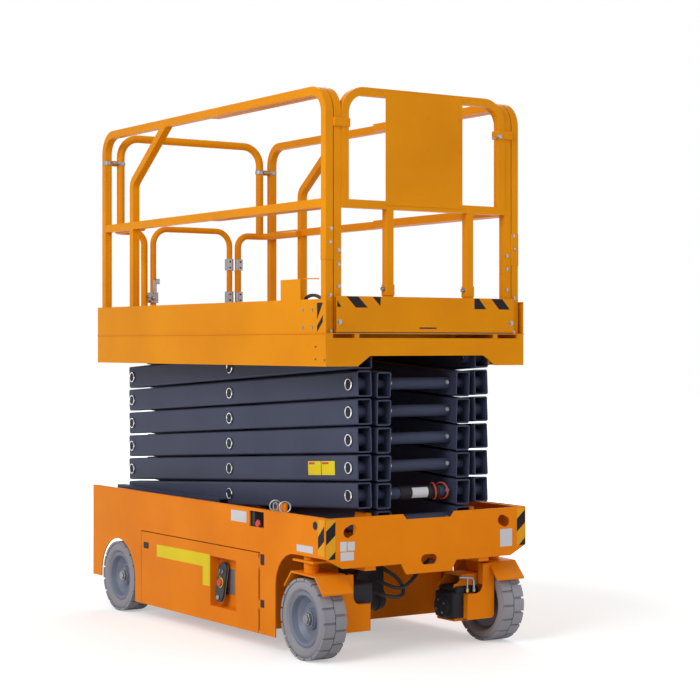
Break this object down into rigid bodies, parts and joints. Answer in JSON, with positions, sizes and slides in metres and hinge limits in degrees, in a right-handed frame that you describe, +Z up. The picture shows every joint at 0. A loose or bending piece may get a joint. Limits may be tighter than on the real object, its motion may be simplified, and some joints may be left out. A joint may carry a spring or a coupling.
{
  "type": "scissor lift",
  "caption": "Electric slab scissor lift, lowered: boxed chassis on solid tyres, stacked crossed arms, guard-railed platform with sliding extension deck and rear gate.",
  "frame": {"origin": "on the floor under the middle of the machine, the wheels standing on z = 0", "axes": "+X forward towards the steered wheels and the extension deck, +Y to the machine's left, +Z up"},
  "size_m": [2.49, 1.17, 2.6499],
  "materials": {
    "chassis_orange": "semi-gloss powder coat",
    "platform_amber": "semi-gloss powder coat",
    "stack_slate": "satin paint",
    "tyre_grey": "non-marking rubber",
    "rim_grey": "satin paint",
    "steel_black": "satin",
    "bright_steel": "zinc plated",
    "hard_chrome": "polished",
    "control_black": "moulded"
  },
  "bodies": {
    "chassis": {"chassis_shell": "chassis_orange", "chassis_beams": "chassis_orange", "tie_down_eyes": "bright_steel", "rear_ladder": "chassis_orange", "rear_axle": "steel_black"},
    "knuckle_right": {"knuckle_right": "chassis_orange"},
    "knuckle_left": {"knuckle_left": "chassis_orange"},
    "wheel_front_right": {"tyre_front_right": "tyre_grey", "rim_front_right": "rim_grey"},
    "wheel_front_left": {"tyre_front_left": "tyre_grey", "rim_front_left": "rim_grey"},
    "wheel_rear_right": {"tyre_rear_right": "tyre_grey", "rim_rear_right": "rim_grey"},
    "wheel_rear_left": {"tyre_rear_left": "tyre_grey", "rim_rear_left": "rim_grey"},
    "inner_arms_1": {"inner_arms_1": "stack_slate"},
    "outer_arms_1": {"outer_arms_1": "stack_slate"},
    "inner_arms_2": {"inner_arms_2": "stack_slate"},
    "outer_arms_2": {"outer_arms_2": "stack_slate"},
    "inner_arms_3": {"inner_arms_3": "stack_slate"},
    "outer_arms_3": {"outer_arms_3": "stack_slate"},
    "inner_arms_4": {"inner_arms_4": "stack_slate"},
    "outer_arms_4": {"outer_arms_4": "stack_slate"},
    "inner_arms_5": {"inner_arms_5": "stack_slate"},
    "outer_arms_5": {"outer_arms_5": "stack_slate"},
    "inner_arms_6": {"inner_arms_6": "stack_slate"},
    "outer_arms_6": {"outer_arms_6": "stack_slate"},
    "lift_barrel": {"lift_barrel": "steel_black"},
    "lift_rod": {"lift_rod": "hard_chrome"},
    "platform": {"platform_frame": "platform_amber", "platform_floor": "platform_amber", "toe_boards": "platform_amber", "side_rail_right": "platform_amber", "side_rail_left": "platform_amber", "rear_rails": "platform_amber"},
    "extension": {"extension_deck": "platform_amber", "extension_rails": "platform_amber", "extension_front_frame": "platform_amber", "control_box": "control_black"},
    "gate": {"gate": "platform_amber"},
    "tray_right": {"tray_door_right": "chassis_orange", "battery_pack_right": "steel_black", "ground_controls": "control_black"},
    "tray_left": {"tray_door_left": "chassis_orange", "battery_pack_left": "steel_black"}
  },
  "joints": [
    {"name": "steer", "type": "hinge", "parent": "chassis", "child": "knuckle_right", "pos_m": [1.045, -0.53, 0.1905], "axis": [0, 0, 1], "range_deg": [-60, 60]},
    {"name": "steer_left", "type": "hinge", "parent": "chassis", "child": "knuckle_left", "pos_m": [1.045, 0.53, 0.1905], "axis": [0, 0, 1], "range_deg": [-60, 60]},
    {"name": "front_wheel_right_spin", "type": "hinge", "parent": "knuckle_right", "child": "wheel_front_right", "pos_m": [1.045, -0.519, 0.1905], "axis": [0, 1, 0], "continuous": true},
    {"name": "rear_wheel_right_spin", "type": "hinge", "parent": "chassis", "child": "wheel_rear_right", "pos_m": [-0.855, -0.519, 0.1905], "axis": [0, 1, 0], "continuous": true},
    {"name": "front_wheel_left_spin", "type": "hinge", "parent": "knuckle_left", "child": "wheel_front_left", "pos_m": [1.045, 0.519, 0.1905], "axis": [0, 1, 0], "continuous": true},
    {"name": "rear_wheel_left_spin", "type": "hinge", "parent": "chassis", "child": "wheel_rear_left", "pos_m": [-0.855, 0.519, 0.1905], "axis": [0, 1, 0], "continuous": true},
    {"name": "lift", "type": "hinge", "parent": "chassis", "child": "inner_arms_1", "pos_m": [1.133, 0, 0.63], "axis": [0, 1, 0], "range_deg": [0, 55]},
    {"name": "centre_pin_1", "type": "hinge", "parent": "inner_arms_1", "child": "outer_arms_1", "pos_m": [0.02489, 0, 0.69475], "axis": [0, 1, 0], "range_deg": [-110, 0]},
    {"name": "rear_pin_1", "type": "hinge", "parent": "inner_arms_1", "child": "outer_arms_2", "pos_m": [-1.08322, 0, 0.7595], "axis": [0, 1, 0], "range_deg": [-110, 0]},
    {"name": "centre_pin_2", "type": "hinge", "parent": "outer_arms_2", "child": "inner_arms_2", "pos_m": [0.02489, 0, 0.82425], "axis": [0, 1, 0], "range_deg": [0, 110]},
    {"name": "front_pin_2", "type": "hinge", "parent": "outer_arms_2", "child": "inner_arms_3", "pos_m": [1.133, 0, 0.889], "axis": [0, 1, 0], "range_deg": [0, 110]},
    {"name": "centre_pin_3", "type": "hinge", "parent": "inner_arms_3", "child": "outer_arms_3", "pos_m": [0.02489, 0, 0.95375], "axis": [0, 1, 0], "range_deg": [-110, 0]},
    {"name": "rear_pin_3", "type": "hinge", "parent": "inner_arms_3", "child": "outer_arms_4", "pos_m": [-1.08322, 0, 1.0185], "axis": [0, 1, 0], "range_deg": [-110, 0]},
    {"name": "centre_pin_4", "type": "hinge", "parent": "outer_arms_4", "child": "inner_arms_4", "pos_m": [0.02489, 0, 1.08325], "axis": [0, 1, 0], "range_deg": [0, 110]},
    {"name": "front_pin_4", "type": "hinge", "parent": "outer_arms_4", "child": "inner_arms_5", "pos_m": [1.133, 0, 1.148], "axis": [0, 1, 0], "range_deg": [0, 110]},
    {"name": "centre_pin_5", "type": "hinge", "parent": "inner_arms_5", "child": "outer_arms_5", "pos_m": [0.02489, 0, 1.21275], "axis": [0, 1, 0], "range_deg": [-110, 0]},
    {"name": "rear_pin_5", "type": "hinge", "parent": "inner_arms_5", "child": "outer_arms_6", "pos_m": [-1.08322, 0, 1.2775], "axis": [0, 1, 0], "range_deg": [-110, 0]},
    {"name": "centre_pin_6", "type": "hinge", "parent": "outer_arms_6", "child": "inner_arms_6", "pos_m": [0.02489, 0, 1.34225], "axis": [0, 1, 0], "range_deg": [0, 110]},
    {"name": "platform_pin", "type": "hinge", "parent": "outer_arms_6", "child": "platform", "pos_m": [1.133, 0, 1.407], "axis": [0, 1, 0], "range_deg": [0, 55]},
    {"name": "cylinder_swing", "type": "hinge", "parent": "inner_arms_3", "child": "lift_barrel", "pos_m": [-0.41649, 0, 1.0116], "axis": [0, 1, 0], "range_deg": [-126.39, 0]},
    {"name": "cylinder_stroke", "type": "slide", "parent": "lift_barrel", "child": "lift_rod", "axis": [0.9997, 0, 0.0239], "range_m": [0, 0.43683]},
    {"name": "extension_slide", "type": "slide", "parent": "platform", "child": "extension", "axis": [1, 0, 0], "range_m": [0, 0.9]},
    {"name": "gate_swing", "type": "hinge", "parent": "platform", "child": "gate", "pos_m": [-1.08, 0.2785, 1.715], "axis": [0, 0, 1], "range_deg": [0, 90]},
    {"name": "tray_right_swing", "type": "hinge", "parent": "chassis", "child": "tray_right", "pos_m": [0.662, -0.576, 0.3], "axis": [0, 0, 1], "range_deg": [0, 90]},
    {"name": "tray_left_swing", "type": "hinge", "parent": "chassis", "child": "tray_left", "pos_m": [0.662, 0.576, 0.3], "axis": [0, 0, -1], "range_deg": [0, 90]}
  ],
  "couplings": [
    {"joint": "steer_left", "follows": "steer", "ratio": 1},
    {"joint": "centre_pin_1", "follows": "lift", "ratio": -2},
    {"joint": "rear_pin_1", "follows": "lift", "ratio": -2},
    {"joint": "centre_pin_2", "follows": "lift", "ratio": 2},
    {"joint": "front_pin_2", "follows": "lift", "ratio": 2},
    {"joint": "centre_pin_3", "follows": "lift", "ratio": -2},
    {"joint": "rear_pin_3", "follows": "lift", "ratio": -2},
    {"joint": "centre_pin_4", "follows": "lift", "ratio": 2},
    {"joint": "front_pin_4", "follows": "lift", "ratio": 2},
    {"joint": "centre_pin_5", "follows": "lift", "ratio": -2},
    {"joint": "rear_pin_5", "follows": "lift", "ratio": -2},
    {"joint": "centre_pin_6", "follows": "lift", "ratio": 2},
    {"joint": "platform_pin", "follows": "lift", "ratio": 1},
    {"joint": "cylinder_swing", "follows": "lift", "ratio": -2.2979},
    {"joint": "cylinder_stroke", "follows": "lift", "m_per_rad": 0.45506}
  ]
}
